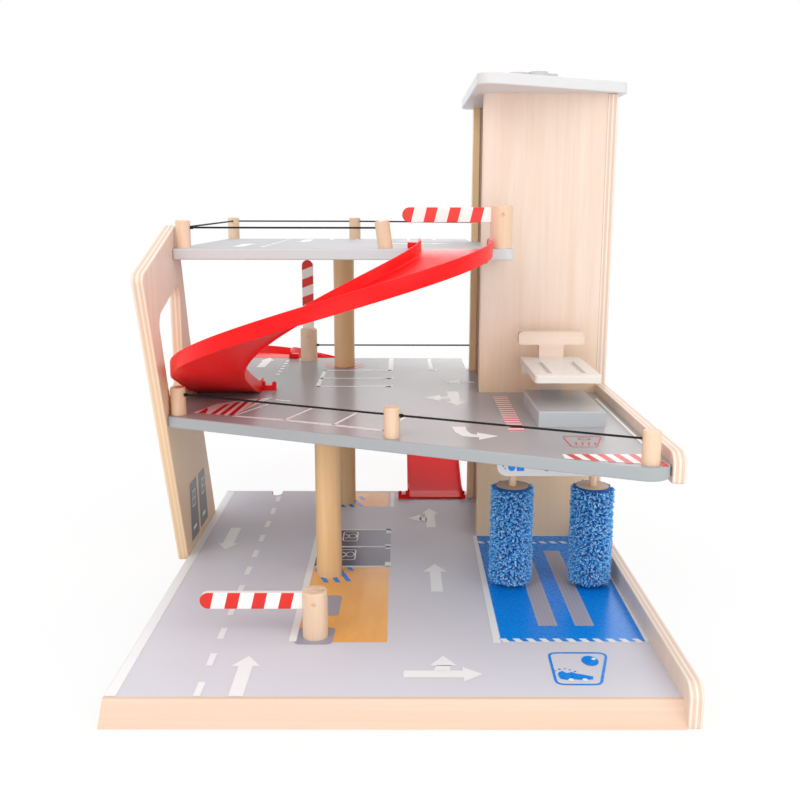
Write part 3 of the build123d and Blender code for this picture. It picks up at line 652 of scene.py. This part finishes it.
def base_prints():
    boards = [rect(149, 234, 99, 284), rect(184, 231, 502, 566)]
    slate = [rect(149, 235, 288, 347), rect(149, 235, 351, 407)]
    pads = [rounded([(147, 94), (183, 94), (184, 130), (147, 130)], 7),
            rounded([(168, 156), (185, 156), (186, 206), (168, 206)], 6)]
    wash_field = [[(340.5, 101), (477, 101), (480, 250), (480, 387), (341, 387)]]
    column_hatch = (hatch(168, 264, 25, 27, -0.36, 12.6, 5.6, 150.5)
                    + hatch(171.5, 524, 25, 27, -0.36, 12.6, 5.6, 150.5))
    tracks = [rect(x, x + TRACK_WIDE, *TRACK_Y) for x in TRACKS]
    edges = wash_edge(343, 474, 98.5, 106.5) + wash_edge(343, 470, 361, 368)
    edges += [[(333, 97), (340.5, 97), (341, 388), (336.5, 388)],
              [(475.5, 100), (479.5, 100), (479.5, 387), (478, 387)]]
    sign = loop(rounded([(378, 19), (418, 19), (436, 79), (380, 79)], 9), 2.4)
    sign.append(disc(416, 62.5, 7.6, 9.5))
    car = [(384, 30), (390, 28), (397, 29), (404, 28), (412, 29), (413, 34), (406, 37), (400, 39),
           (396, 42), (391, 40), (388, 44), (384, 41), (383, 36)]
    foam = [disc(386, 47, 1.2), disc(391, 48, 0.9), disc(395, 46, 1.0), disc(399, 43, 1.1),
            disc(382, 44, 0.9)]
    shine = [disc(393, 28, 2.4), disc(405, 28, 2.4), disc(420, 66, 2.0, 2.2)]
    for name, shapes, color, layer in (
            ("base_fields_wood", boards, "floorboards", 1.0),
            ("base_fields_slate", slate, "slate", 1.0),
            ("base_fields_lilac", pads, "lilac", 1.6),
            ("base_fields_blue", wash_field, "blue", 1.0),
            ("base_column_hatch", column_hatch, "blue", 2.0),
            ("base_wash_tracks", tracks, "mesh_grey", 2.0),
            ("base_wash_grid", wash_mesh(), "lilac", 2.6),
            ("base_lines", base_lines(), "white", 2.2),
            ("base_wash_dashes", edges, "white", 2.2),
            ("base_wash_sign", sign + [car] + foam, "blue", 2.0),
            ("base_wash_sign_shine", shine, "white", 3.0)):
        marks(name, shapes, BASE_TOP, ink[color], layer)


def mid_lines():
    """White lines and arrows of the mid deck, and the ground of its red hatching."""
    front = [(69, 256), (126, 236), (178, 214), (229, 190)]
    back = [(98, 317), (149, 295), (200, 274), (251, 250)]
    white = [bar(a, b, 6.4) for a, b in zip(front, front[1:])]
    white += [bar(a, b, 3.6) for a, b in zip(front, back)]
    for x, y in [(111, 333), *back[1:]]:
        white.append(bar((x - 8, y + 9), (x + 10, y + 1), 4.4))
    white.append(arrow((53, 565), (55, 649), 12, 21, 26))
    white += dashes(82, 87, 505, 9, 22, 6)
    white += [rect(142, 147, 422, 542), bar((143, 540), (235, 540), 7),
              bar((143, 480), (235, 480), 7), bar((143, 424), (235, 424), 6),
              rect(229, 237, 470, 489), rect(229, 237, 416, 432), rect(230.5, 237, 524, 645)]
    white += [rect(286.5, 291.5, 548, 642), rect(280, 298, 544, 550),
              rect(336.5, 341.5, 548, 642), rect(330, 340.5, 544, 550)]
    thin_arrow = [(303, 456), (322, 469), (322, 459), (340.5, 458), (340.5, 451), (322, 450),
                  (322, 442)]
    forked_arrow = [(274, 354), (293, 370), (294, 360), (303, 364), (302, 393), (316, 393),
                    (315, 336), (323, 334), (310, 312), (297, 333), (304, 335), (304, 349),
                    (294, 348), (292, 337)]
    curled_arrow = [(298, 208), (312, 208), (312, 191), (315, 178), (321, 174), (321, 183),
                    (341, 168), (321, 153), (322, 163), (313, 165), (306, 169), (300, 184)]
    white += [thin_arrow, forked_arrow, curled_arrow]
    white.append(bar((473.5, 352), (473.5, 100), 3))
    hoist_side = [(355, 362), (372, 362), (369.5, 188), (353.5, 188)]
    right_corner = [(391, 101), (462, 101), (474, 88), (474, 64), (391, 86)]
    left_corner = [(23, 271), (67, 256), (98, 356), (70, 343), (40, 318)]
    return white + [hoist_side, right_corner, left_corner]


def mid_hatching():
    """Red stripes of the mid deck: left corner, beside the hoist, right corner, one column."""
    red = [[(29, 269), (38, 267), (36, 290), (33, 296)]]
    for x, top in ((43, 318), (53, 330), (63, 340)):
        low = 271 - (x - 25) * 0.34
        red.append([(x, low), (x + 5.5, low - 1.5), (x + 12, top), (x + 7, top - 4)])
    red.append([(72, 266), (74, 280), (88, 356), (83, 350)])
    for k in range(16):
        y, left, right = 190 + 10.8 * k, 353.6 + 0.1 * k, 369.6 + 0.15 * k
        red.append([(left, y), (right, y), (right, y + 4.6), (left, y + 4.6)])
    for k in range(6):
        x, edge = 394 + 14 * k, 84.5 - 4.3 * (k + 0.5)
        red.append([(x, 100.5), (x + 6.5, 100.5), (x + 12, edge), (x + 5.5, edge)])
    return red + hatch(169, 577, 27, 25, 0.5, 11, 5.5)


def mid_prints():
    thin = loop(rounded([(404, 126), (428, 126), (441, 168), (402, 168)], 5), 1.1)
    thin += loop(disc(422, 158, 6, 5), 0.9)
    for x in (410, 416, 422, 428):
        thin.append(bar((x, 134), (x + 1.5, 144), 1.3))
    marks("mid_lines", mid_lines(), MID_TOP, ink["white"])
    marks("mid_red_hatch", mid_hatching(), MID_TOP, ink["red"], 2.0)
    marks("mid_hoist_sign", thin, MID_TOP, ink["red"], 2.0)


def top_prints():
    white = [arrow((62, 360), (62, 452), 12, 26, 24), arrow((120, 612), (120, 520), 12, 26, 24),
             arrow((230, 470), (310, 470), 12, 26, 24), arrow((316, 560), (236, 560), 12, 26, 24)]
    white += dashes(88, 94, 352, 22, 46, 6)
    for k in range(5):
        white.append(bar((150 + 36 * k, 600), (150 + 36 * k, 640), 3.5))
    white.append(bar((150, 600), (294, 600), 3.5))
    marks("top_lines", white, TOP_TOP, ink["white"])


SIGN_FRONT = 165                             # the front face of the wash sign


def wall_prints():
    """Prints on the left panel's inner face and on the wash sign."""
    stickers = [rounded([(341, 9), (382, 8), (376, 80), (341, 80)], 3),
                rounded([(391, 9), (434, 9), (421, 79), (386, 79)], 3)]
    print_shapes("left_panel_stickers", [shape[::-1] for shape in stickers],
                 lambda y, z: at(PRINT_LIFT, y, z), ink["sign_grey"])
    lines = []
    for y in (359, 410):
        lines += loop(rounded([(y - 9, 48), (y + 9, 48), (y + 8, 68), (y - 8, 68)], 3), 1.6)
        lines += [bar((y - 6, 58), (y + 6, 58), 1.6), bar((y, 50), (y, 66), 1.4)]
        lines += [bar((y - 8, 22), (y + 9, 22), 4.5)]
    print_shapes("left_panel_icons", lines, lambda y, z: at(PRINT_LIFT * 2, y, z), ink["white"])

    icons = [disc(354.3, 150.5, 3.6), disc(346, 152, 0.9), disc(348, 149.5, 0.8)]
    icons.append(rounded([(359, 147), (366.5, 147), (366.5, 156), (359, 156)], 1.0))
    for x in (388.5, 402.5):
        icons += loop(disc(x, 151, 4.2), 0.9) + [disc(x, 151, 1.2)]
    print_shapes("wash_sign_icons", icons, lambda x, z: at(x, SIGN_FRONT - PRINT_LIFT, z),
                 ink["blue"])


# ---------------------------------------------------------------- ramps

# The channel's section: clear width, thickness of walls and floor, the walls' height above the
# floor, and how deep the rims reach below it at the start and at the end.
CLEAR, WALL, FLOOR, HIGH = 72.0, 2.3, 2.5, 12.0
RIM, RIM_END = 4.0, 3.2
HALF = CLEAR / 2 + WALL
INNER_CORNER = ((0.0, 3.0), (0.5, 1.2), (2.0, 0.2), (3.5, 0.0))
STATIONS = 150
FLAT_END = 24.0                              # the level stretch at the low end
EASE = 0.8 * math.pi                         # the part of a cosine wave that the fall follows
LUG_DEEP, LUG_HIGH = 8, 6                    # the end lugs
BOSS_FROM = 9                                # a lug this long carries an upright boss
EAR = 12                                     # the reach of the ear and of the hooks

# runs: the straight length at the start, and how far behind the start the end lies.
# lugs: the reach of the end lugs, that of the left one first as the ramp is described here.
RAMPS = {
    "upper_ramp": {"start": (304.0, 309.0), "radius": 131.0, "runs": (28.0, 97.0),
                   "lugs": (3.0, 16.0), "levels": (TOP_TOP, MID_TOP), "turned": False},
    "lower_ramp": {"start": (48.0, 650.0), "radius": 123.75, "runs": (33.5, 113.0),
                   "lugs": (4.0, 13.0), "levels": (MID_TOP, BASE_TOP), "turned": True},
}


def ramp_path(radius, runs):
    """Points, headings and the share of the fall, from the start to the end."""
    start_run, end_run = runs[0], sum(runs)
    arc = math.pi * radius
    total = start_run + arc + end_run
    out = []
    for i in range(STATIONS + 1):
        s = total * i / STATIONS
        if s < start_run:
            x, y, turn = 0.0, -s, 0.0
        elif s < start_run + arc:
            turn = (s - start_run) / radius
            x, y = radius * (math.cos(turn) - 1), -start_run - radius * math.sin(turn)
        else:
            turn = math.pi
            x, y = -2 * radius, -start_run + (s - start_run - arc)
        out.append((x, y, turn, min(s / (total - FLAT_END), 1.0)))
    return out


def ramp_profile(rim):
    """The channel's section: offset across and height, with rounded wall tops and corners."""
    inner, tip = HALF - WALL, WALL / 2
    side = []
    for k in range(5):
        a = math.pi * k / 4
        side.append((HALF - tip + tip * math.cos(a), HIGH - tip + tip * math.sin(a)))
    right = [(HALF, -rim + 0.5), *side, *((inner - inset, z) for inset, z in INNER_CORNER)]
    left = [(-a, b) for a, b in reversed(right)]
    under = [(-HALF + 0.4, -rim), (-inner, -rim), (-inner, -FLOOR), (inner, -FLOOR),
             (inner, -rim), (HALF - 0.4, -rim)]
    return right + left + under


def ramp_piece(name, start, radius, runs, lugs, levels, turned):
    """A ramp that leaves its start to the front and turns left; turned, it is half turned."""
    high = levels[0]
    fall = high - levels[1] - RIM_END
    way = -1 if turned else 1
    verts, faces = [], []

    def add(x, y, z):
        verts.append(at(start[0] + way * x, start[1] + way * y, high + z))

    def channel():
        stations = ramp_path(radius, runs)
        for x, y, turn, share in stations:
            down = -fall * (1 - math.cos(EASE * share)) / (1 - math.cos(EASE))
            for n, z in ramp_profile(RIM + (RIM_END - RIM) * share ** 2):
                add(x + math.cos(turn) * n, y - math.sin(turn) * n, down + z)
        ring = len(ramp_profile(RIM))
        last = (len(stations) - 1) * ring
        faces.extend(bands(0, len(stations), ring))
        faces.append(tuple(range(ring))[::-1])
        faces.append(tuple(range(last, last + ring)))

    def box(x0, x1, y0, y1, z0, z1, soft=0.8):
        """A small moulded block with eased edges."""
        first = len(verts)
        x0, x1 = min(x0, x1), max(x0, x1)
        for z, inset in ((z0, soft), (z0 + soft, 0.0), (z1 - soft, 0.0), (z1, soft)):
            for x, y in ((x0 + inset, y0 + soft), (x0 + soft, y0 + inset),
                         (x1 - soft, y0 + inset), (x1 - inset, y0 + soft),
                         (x1 - inset, y1 - soft), (x1 - soft, y1 - inset),
                         (x0 + soft, y1 - inset), (x0 + inset, y1 - soft)):
                add(x, y, z)
        faces.extend(bands(first, 4, 8))
        faces.append(tuple(range(first, first + 8))[::-1])
        faces.append(tuple(range(first + 24, first + 32)))

    def stud(x, y, z, side, length, thick):
        """A short round peg that points outward along X."""
        first, sides = len(verts), 14
        for along, r in ((0, thick), (length - 0.8, thick), (length, thick - 0.8)):
            for k in range(sides):
                a = 2 * math.pi * k / sides
                add(x + along * side, y + r * math.cos(a), z + r * math.sin(a))
        faces.extend(bands(first, 3, sides))
        faces.append(tuple(range(first + 2 * sides, first + 3 * sides)))

    channel()
    bottom = -fall - RIM_END
    end_x, end_y = -2 * radius, runs[1]
    for side, reach in zip((-1, 1), lugs):
        tip = end_x + side * (HALF + reach)
        box(end_x + side * (HALF - 0.5), tip, end_y - LUG_DEEP, end_y, bottom, bottom + LUG_HIGH)
        stud(end_x + side * (HALF - 0.2), end_y - 4, bottom + 8.5, side, min(reach, 3.0) + 0.2,
             2.5)
        if reach > BOSS_FROM:
            box(tip - side * 5, tip, end_y - 7, end_y - 1, bottom + 5, bottom + 10.5, 1.4)
        # At the start: the end of the wall, and a hook that goes round the deck's edge.
        wall, hook = side * (HALF - WALL), side * (HALF - EAR)
        box(wall, side * HALF, -6, 9, 0.3, HIGH - 1.5, 0.7)
        box(wall, hook, -2.6, 9, -15.3, -12.3, 0.6)
        box(wall, hook, -2.6, -0.3, -15.3, -1.25, 0.5)
    # The ear that lies on the deck beside the wall.
    box(-HALF + 0.2, -HALF - EAR, 1, 9, 0.3, 7)
    box(-HALF + 1, -HALF - EAR + 1, -4, 2, 0.3, 7)
    piece = add_piece(name + "_shell", verts, faces, GARAGE, "red_plastic", mats["red_plastic"],
                      True)
    piece.data.set_sharp_from_angle(angle=math.radians(38))
    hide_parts(name)


# ---------------------------------------------------------------- brushes

BRUSH_X = {"left": 365.0, "right": 450.0}
BRUSH_Y, BRUSH_LOW, BRUSH_HIGH = 240.0, 4.0, 110.0
SLEEVE_IN, SLEEVE_OUT = 17.05, 18.3          # radii of the woven sleeve round the core
NOODLES_ROUND, NOODLE_ROWS = 60, 47
# The share of a noodle's length, and of its thickness there.
NOODLE = ((0.0, 0.8), (0.45, 1.0), (0.85, 0.95), (1.0, 0.5))
NOODLE_SIDES, SLEEVE_SIDES = 5, 48


def noodle_material():
    """Blue microfibre with painted shade, darker at the roots; some noodles carry a painted
    highlight, paler at their tips.
    """
    paint = Paint("blue_microfibre", 0.75, Sheen_Weight=0.4)
    facts = []
    for name in ("tip", "highlight_share"):
        node = paint.tree.nodes.new("ShaderNodeAttribute")
        node.attribute_name = name
        facts.append(node.outputs["Fac"])
    tip, highlight_share = facts
    # Painted shade and highlight: each noodle runs from a dark root, shaded by the pile, to a
    # lighter tip; the second ramp adds a near-white painted highlight on some tips.
    body = paint.ramp(tip, (0.0, srgb(0, 86, 164)), (0.55, srgb(6, 136, 222)),
                      (1.0, srgb(66, 176, 242)))
    tip_highlight = paint.ramp(tip, (0.0, srgb(10, 96, 170)), (0.6, srgb(78, 170, 234)),
                        (1.0, srgb(200, 230, 250)))
    paint.bump(paint.noise(paint.place, 2600, 2), 0.6, 0.0004)
    return paint.color(paint.mix(highlight_share, body, tip_highlight))


def brush_pile(side, cx, material):
    """A sleeve of short soft noodles round the core."""
    verts, faces, tips, tones = [], [], [], []
    rise = BRUSH_HIGH - BRUSH_LOW - 3.2
    up = Vector((0, 0, 1))
    for row in range(NOODLE_ROWS):
        for k in range(NOODLES_ROUND):
            place = k + 0.5 * (row % 2) + random.uniform(-0.3, 0.3)
            turn = 2 * math.pi * place / NOODLES_ROUND
            z = BRUSH_LOW + 1.6 + rise * (row + random.uniform(0.1, 0.9)) / NOODLE_ROWS
            out = Vector((math.cos(turn), math.sin(turn), 0))
            sideways = Vector((-math.sin(turn), math.cos(turn), 0))
            lean = sideways * random.uniform(-0.9, 0.9) + up * random.uniform(-0.75, 0.45)
            root = Vector((cx, BRUSH_Y, z)) + out * (SLEEVE_OUT - 0.6)
            length = random.uniform(4.9, 6.4)
            thick = random.uniform(0.66, 0.92)
            highlight_share = random.random() ** 2.2
            first = len(verts)
            for share, size in NOODLE:
                way = out + lean * share
                centre = root + way.normalized() * length * share
                centre.z = min(max(centre.z, BRUSH_LOW + 0.9), BRUSH_HIGH + 1.6)
                a = way.cross(up).normalized()
                b = way.normalized().cross(a)
                for i in range(NOODLE_SIDES):
                    angle = 2 * math.pi * i / NOODLE_SIDES
                    ring = (a * math.cos(angle) + b * math.sin(angle)) * thick * size
                    verts.append(at(*(centre + ring)))
                    tips.append(share)
                    tones.append(highlight_share)
            faces += bands(first, len(NOODLE), NOODLE_SIDES)
            faces.append(tuple(range(len(verts) - NOODLE_SIDES, len(verts))))
    first = len(verts)
    for radius, z in ((SLEEVE_IN, BRUSH_LOW), (SLEEVE_OUT, BRUSH_LOW),
                      (SLEEVE_OUT, BRUSH_HIGH), (SLEEVE_IN, BRUSH_HIGH)):
        for i in range(SLEEVE_SIDES):
            a = 2 * math.pi * i / SLEEVE_SIDES
            verts.append(at(cx + radius * math.cos(a), BRUSH_Y + radius * math.sin(a), z))
            tips.append(0.0)
            tones.append(0.0)
    faces += bands(first, 4, SLEEVE_SIDES, closed=True)
    piece = add_piece("brush_noodles_" + side, verts, faces, "brush_" + side, "blue_microfibre",
                      material, True)
    for name, values in (("tip", tips), ("highlight_share", tones)):
        layer = piece.data.attributes.new(name, "FLOAT", "POINT")
        layer.data.foreach_set("value", values)
    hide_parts("brush_pile_" + side)


# ---------------------------------------------------------------- small pieces

TUBE_SIDES = 8


def tube(points, radius, closed=False):
    """Vertices and faces of a round tube through points in millimetres."""
    verts = []
    count = len(points)
    for i, point in enumerate(points):
        if closed:
            way = points[(i + 1) % count] - points[i - 1]
        else:
            way = points[min(i + 1, count - 1)] - points[max(i - 1, 0)]
        way.normalize()
        side = way.cross(Vector((0.13, 0.21, 0.97)))
        side.normalize()
        other = way.cross(side)
        for k in range(TUBE_SIDES):
            a = 2 * math.pi * k / TUBE_SIDES
            verts.append(at(*(point + (side * math.cos(a) + other * math.sin(a)) * radius)))
    faces = bands(0, count, TUBE_SIDES, closed)
    if not closed:
        faces.append(tuple(range(TUBE_SIDES)))
        faces.append(tuple(range((count - 1) * TUBE_SIDES, count * TUBE_SIDES))[::-1])
    return verts, faces


def knot(centre, size, wire):
    """A small overhand knot as a closed trefoil."""
    points = []
    for i in range(48):
        t = 2 * math.pi * i / 48
        points.append(Vector(centre) + size * Vector((
            (math.sin(t) + 2 * math.sin(2 * t)) / 3, (math.cos(t) - 2 * math.cos(2 * t)) / 3,
            -math.sin(3 * t) * 0.55)))
    return tube(points, wire, True)


MID_CORD, TOP_CORD = MID_TOP + CORD_RISE, TOP_TOP + CORD_RISE
# Where a fence cord is knotted, and the knot's size.
FENCE_KNOTS = (((18.9, 260.1, MID_CORD), 1.7), ((246.9, 160.2, MID_CORD), 1.7),
               ((18.9, 321, TOP_CORD), 1.7), ((223, 321, TOP_CORD), 1.6),
               ((127.5, 628, MID_CORD + 0.3), 1.6))
SPOOL_X, SPOOL_Y, SPOOL_LOW = 405, 486.5, 511.6
SPOOL_RADIUS, SPOOL_TURNS, SPOOL_RISE = 11.8, 9, 8.2
TURN_STEPS = 26


def fence_knots():
    verts, faces = [], []
    for centre, size in FENCE_KNOTS:
        first = len(verts)
        knot_verts, knot_faces = knot(centre, size, 0.9)
        verts += knot_verts
        faces += [tuple(i + first for i in face) for face in knot_faces]
    add_piece("fence_cord_knots", verts, faces, GARAGE, "elastic_cord", mats["black_elastic"],
              True)


def spool_turns():
    """The string wound on the spool."""
    turns = []
    steps = TURN_STEPS * SPOOL_TURNS
    for i in range(steps + 1):
        a = 2 * math.pi * i / TURN_STEPS
        turns.append(Vector((SPOOL_X + SPOOL_RADIUS * math.cos(a),
                             SPOOL_Y + SPOOL_RADIUS * math.sin(a),
                             SPOOL_LOW + SPOOL_RISE * i / steps)))
    add_piece("spool_string_turns", *tube(turns, 0.75), "crank", "lift_string", mats["string"],
              True)


def hook_knot():
    """The knot that ties the lift cord to the car's screw eye."""
    add_piece("lift_hook_knot", *knot((423.5, 474.5, 115.4), 1.5, 0.8), "lift_car",
              "lift_string", mats["string"], True)


make_camera()
make_world()
make_floor()
for lamp_name, lamp_facts in LAMPS.items():
    make_lamp(lamp_name, *lamp_facts)
scene.view_settings.view_transform = "Standard"
dress_nodes()
base_prints()
mid_prints()
top_prints()
wall_prints()
for ramp_name, ramp_shape in RAMPS.items():
    ramp_piece(ramp_name, **ramp_shape)
noodles = noodle_material()
for brush_side, brush_x in BRUSH_X.items():
    brush_pile(brush_side, brush_x, noodles)
fence_knots()
spool_turns()
hook_knot()
